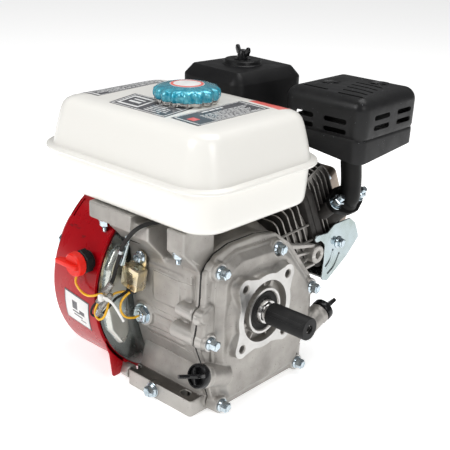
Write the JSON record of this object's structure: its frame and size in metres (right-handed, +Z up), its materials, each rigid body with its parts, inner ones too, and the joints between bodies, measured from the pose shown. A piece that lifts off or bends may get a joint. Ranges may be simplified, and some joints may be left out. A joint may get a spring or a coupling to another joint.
{
  "type": "small gasoline engine",
  "caption": "Air-cooled single-cylinder engine with a tilted cylinder, recoil starter, fuel tank on top, air cleaner, guarded muffler and a horizontal output shaft.",
  "frame": {"origin": "on the base plane, under the crankshaft, midway between the front and rear pairs of base slots", "axes": "+X along the crankshaft towards the output end, +Y towards the cylinder head, +Z up"},
  "size_m": [0.312, 0.365, 0.333],
  "materials": {
    "cast_aluminium": "cast, satin",
    "machined_aluminium": "machined",
    "steel": "bright",
    "dark_steel": "oiled",
    "cast_iron": "cast",
    "zinc_sheet": "zinc plated, glossy",
    "gold_zinc": "yellow passivated zinc",
    "red_paint": "gloss",
    "white_paint": "gloss",
    "black_paint": "textured satin",
    "black_plastic": "satin",
    "red_plastic": "semi-gloss",
    "blue_film": "thin film wrapped over a plated cap",
    "rubber": "matt",
    "gasket": "matt",
    "foam": "open foam",
    "phenolic": "matt",
    "wire_cover": "semi-gloss"
  },
  "bodies": {
    "frame": {"crankcase": "cast_aluminium", "cylinder_liner": "cast_iron", "side_cover": "cast_aluminium", "cover_gasket": "gasket", "output_oil_seal": "rubber", "output_bearing": "steel", "flywheel_bearing": "steel", "cylinder_head": "cast_aluminium", "valve_cover": "steel", "spark_plug": "steel", "spark_plug_cap": "rubber", "blower_housing": "red_paint", "inner_shroud": "zinc_sheet", "lower_shroud": "zinc_sheet", "ignition_coil": "black_plastic", "starter_housing": "red_paint", "fuel_tank": "white_paint", "air_cleaner_cover": "black_plastic", "air_cleaner_base": "black_plastic", "air_filter": "foam", "insulator_block": "phenolic", "carburettor": "machined_aluminium", "control_plate": "zinc_sheet", "muffler_guard": "black_paint", "muffler": "dark_steel", "exhaust_pipe": "black_paint", "oil_alert_unit": "gold_zinc", "switch_body": "black_plastic", "wiring_loom": "wire_cover"},
    "crankshaft": {"crankshaft_output_half": "steel", "crankshaft_flywheel_half": "steel", "timing_gear": "dark_steel", "shaft_sleeve": "black_plastic", "flywheel": "cast_iron", "cooling_fan": "black_plastic", "starter_cup": "steel", "flywheel_nut": "steel"},
    "camshaft": {"camshaft": "cast_iron", "cam_gear": "dark_steel"},
    "piston": {"piston": "machined_aluminium", "wrist_pin": "steel"},
    "connecting_rod": {"connecting_rod": "machined_aluminium", "rod_cap": "machined_aluminium", "crank_pin": "steel"},
    "intake_valve": {"intake_valve": "steel"},
    "intake_pushrod": {"intake_pushrod": "steel"},
    "intake_rocker": {"intake_rocker": "steel"},
    "exhaust_valve": {"exhaust_valve": "steel"},
    "exhaust_pushrod": {"exhaust_pushrod": "steel"},
    "exhaust_rocker": {"exhaust_rocker": "steel"},
    "starter_reel": {"starter_reel": "black_plastic"},
    "starter_grip": {"starter_grip": "black_plastic"},
    "switch_knob": {"switch_knob": "red_plastic"},
    "fuel_cap": {"fuel_cap": "blue_film"},
    "oil_cap_front": {"oil_cap_front": "black_plastic"},
    "oil_cap_rear": {"oil_cap_rear": "black_plastic"},
    "air_cleaner_nut": {"air_cleaner_nut": "black_plastic"},
    "throttle_lever": {"throttle_lever": "black_plastic"},
    "choke_lever": {"choke_lever": "black_plastic"},
    "fuel_valve_lever": {"fuel_valve_lever": "black_plastic"}
  },
  "joints": [
    {"name": "crank_spin", "type": "hinge", "parent": "frame", "child": "crankshaft", "pos_m": [0, 0, 0.106], "axis": [1, 0, 0], "continuous": true},
    {"name": "cam_spin", "type": "hinge", "parent": "frame", "child": "camshaft", "pos_m": [0, 0.0382, 0.0678], "axis": [1, 0, 0], "continuous": true},
    {"name": "piston_stroke", "type": "slide", "parent": "frame", "child": "piston", "axis": [0, 0.9063, 0.4226], "range_m": [-0.045, 0]},
    {"name": "rod_swing", "type": "hinge", "parent": "piston", "child": "connecting_rod", "pos_m": [0.005, 0.09652, 0.15101], "axis": [1, 0, 0], "range_deg": [-15.5, 15.5]},
    {"name": "intake_rocker_swing", "type": "hinge", "parent": "frame", "child": "intake_rocker", "pos_m": [-0.011, 0.18137, 0.16189], "axis": [1, 0, 0], "range_deg": [0, 12.5], "stiffness_Nm_per_rad": 3.5, "springref_deg": -28.65},
    {"name": "intake_valve_lift", "type": "slide", "parent": "frame", "child": "intake_valve", "axis": [0, 0.9063, 0.4226], "range_m": [-0.0055, 0]},
    {"name": "intake_pushrod_lift", "type": "slide", "parent": "frame", "child": "intake_pushrod", "axis": [0, 0.9063, 0.4226], "range_m": [0, 0.0055]},
    {"name": "exhaust_rocker_swing", "type": "hinge", "parent": "frame", "child": "exhaust_rocker", "pos_m": [0.021, 0.18137, 0.16189], "axis": [1, 0, 0], "range_deg": [0, 12.5], "stiffness_Nm_per_rad": 3.5, "springref_deg": -28.65},
    {"name": "exhaust_valve_lift", "type": "slide", "parent": "frame", "child": "exhaust_valve", "axis": [0, 0.9063, 0.4226], "range_m": [-0.0055, 0]},
    {"name": "exhaust_pushrod_lift", "type": "slide", "parent": "frame", "child": "exhaust_pushrod", "axis": [0, 0.9063, 0.4226], "range_m": [0, 0.0055]},
    {"name": "starter_pull", "type": "slide", "parent": "frame", "child": "starter_grip", "axis": [0, 1, 0], "range_m": [0, 0.6], "stiffness_N_per_m": 17, "springref_m": -0.6},
    {"name": "starter_reel_spin", "type": "hinge", "parent": "frame", "child": "starter_reel", "pos_m": [0, 0, 0.106], "axis": [1, 0, 0], "range_deg": [-615, 0]},
    {"name": "switch_turn", "type": "hinge", "parent": "frame", "child": "switch_knob", "pos_m": [-0.067, -0.121, 0.146], "axis": [0, 1, 0], "range_deg": [0, 90]},
    {"name": "fuel_cap_turn", "type": "hinge", "parent": "frame", "child": "fuel_cap", "pos_m": [-0.028, -0.004, 0.313], "axis": [0, 0, 1], "range_deg": [0, 90]},
    {"name": "oil_cap_front_turn", "type": "hinge", "parent": "frame", "child": "oil_cap_front", "pos_m": [0.071, -0.0775, 0.0565], "axis": [0, -0.9397, 0.342], "range_deg": [0, 720]},
    {"name": "oil_cap_rear_turn", "type": "hinge", "parent": "frame", "child": "oil_cap_rear", "pos_m": [0.071, 0.116, 0.0595], "axis": [0, 0.9397, 0.342], "range_deg": [0, 720]},
    {"name": "air_cleaner_nut_turn", "type": "hinge", "parent": "frame", "child": "air_cleaner_nut", "pos_m": [-0.094, 0.155, 0.32], "axis": [0, 0, 1], "continuous": true},
    {"name": "throttle_swing", "type": "hinge", "parent": "frame", "child": "throttle_lever", "pos_m": [-0.062, 0.104, 0.208], "axis": [0, 0, 1], "range_deg": [0, 40]},
    {"name": "choke_swing", "type": "hinge", "parent": "frame", "child": "choke_lever", "pos_m": [-0.074, 0.143, 0.186], "axis": [0, 0, 1], "range_deg": [-30, 40]},
    {"name": "fuel_valve_swing", "type": "hinge", "parent": "frame", "child": "fuel_valve_lever", "pos_m": [-0.084, 0.166, 0.158], "axis": [0, 1, 0], "range_deg": [-90, 0]}
  ],
  "couplings": [
    {"joint": "cam_spin", "follows": "crank_spin", "ratio": -0.5},
    {"joint": "intake_valve_lift", "follows": "intake_rocker_swing", "m_per_rad": -0.024},
    {"joint": "intake_pushrod_lift", "follows": "intake_rocker_swing", "m_per_rad": 0.0245},
    {"joint": "exhaust_valve_lift", "follows": "exhaust_rocker_swing", "m_per_rad": -0.024},
    {"joint": "exhaust_pushrod_lift", "follows": "exhaust_rocker_swing", "m_per_rad": 0.0245},
    {"joint": "starter_reel_spin", "follows": "starter_pull", "rad_per_m": -17.857}
  ]
}
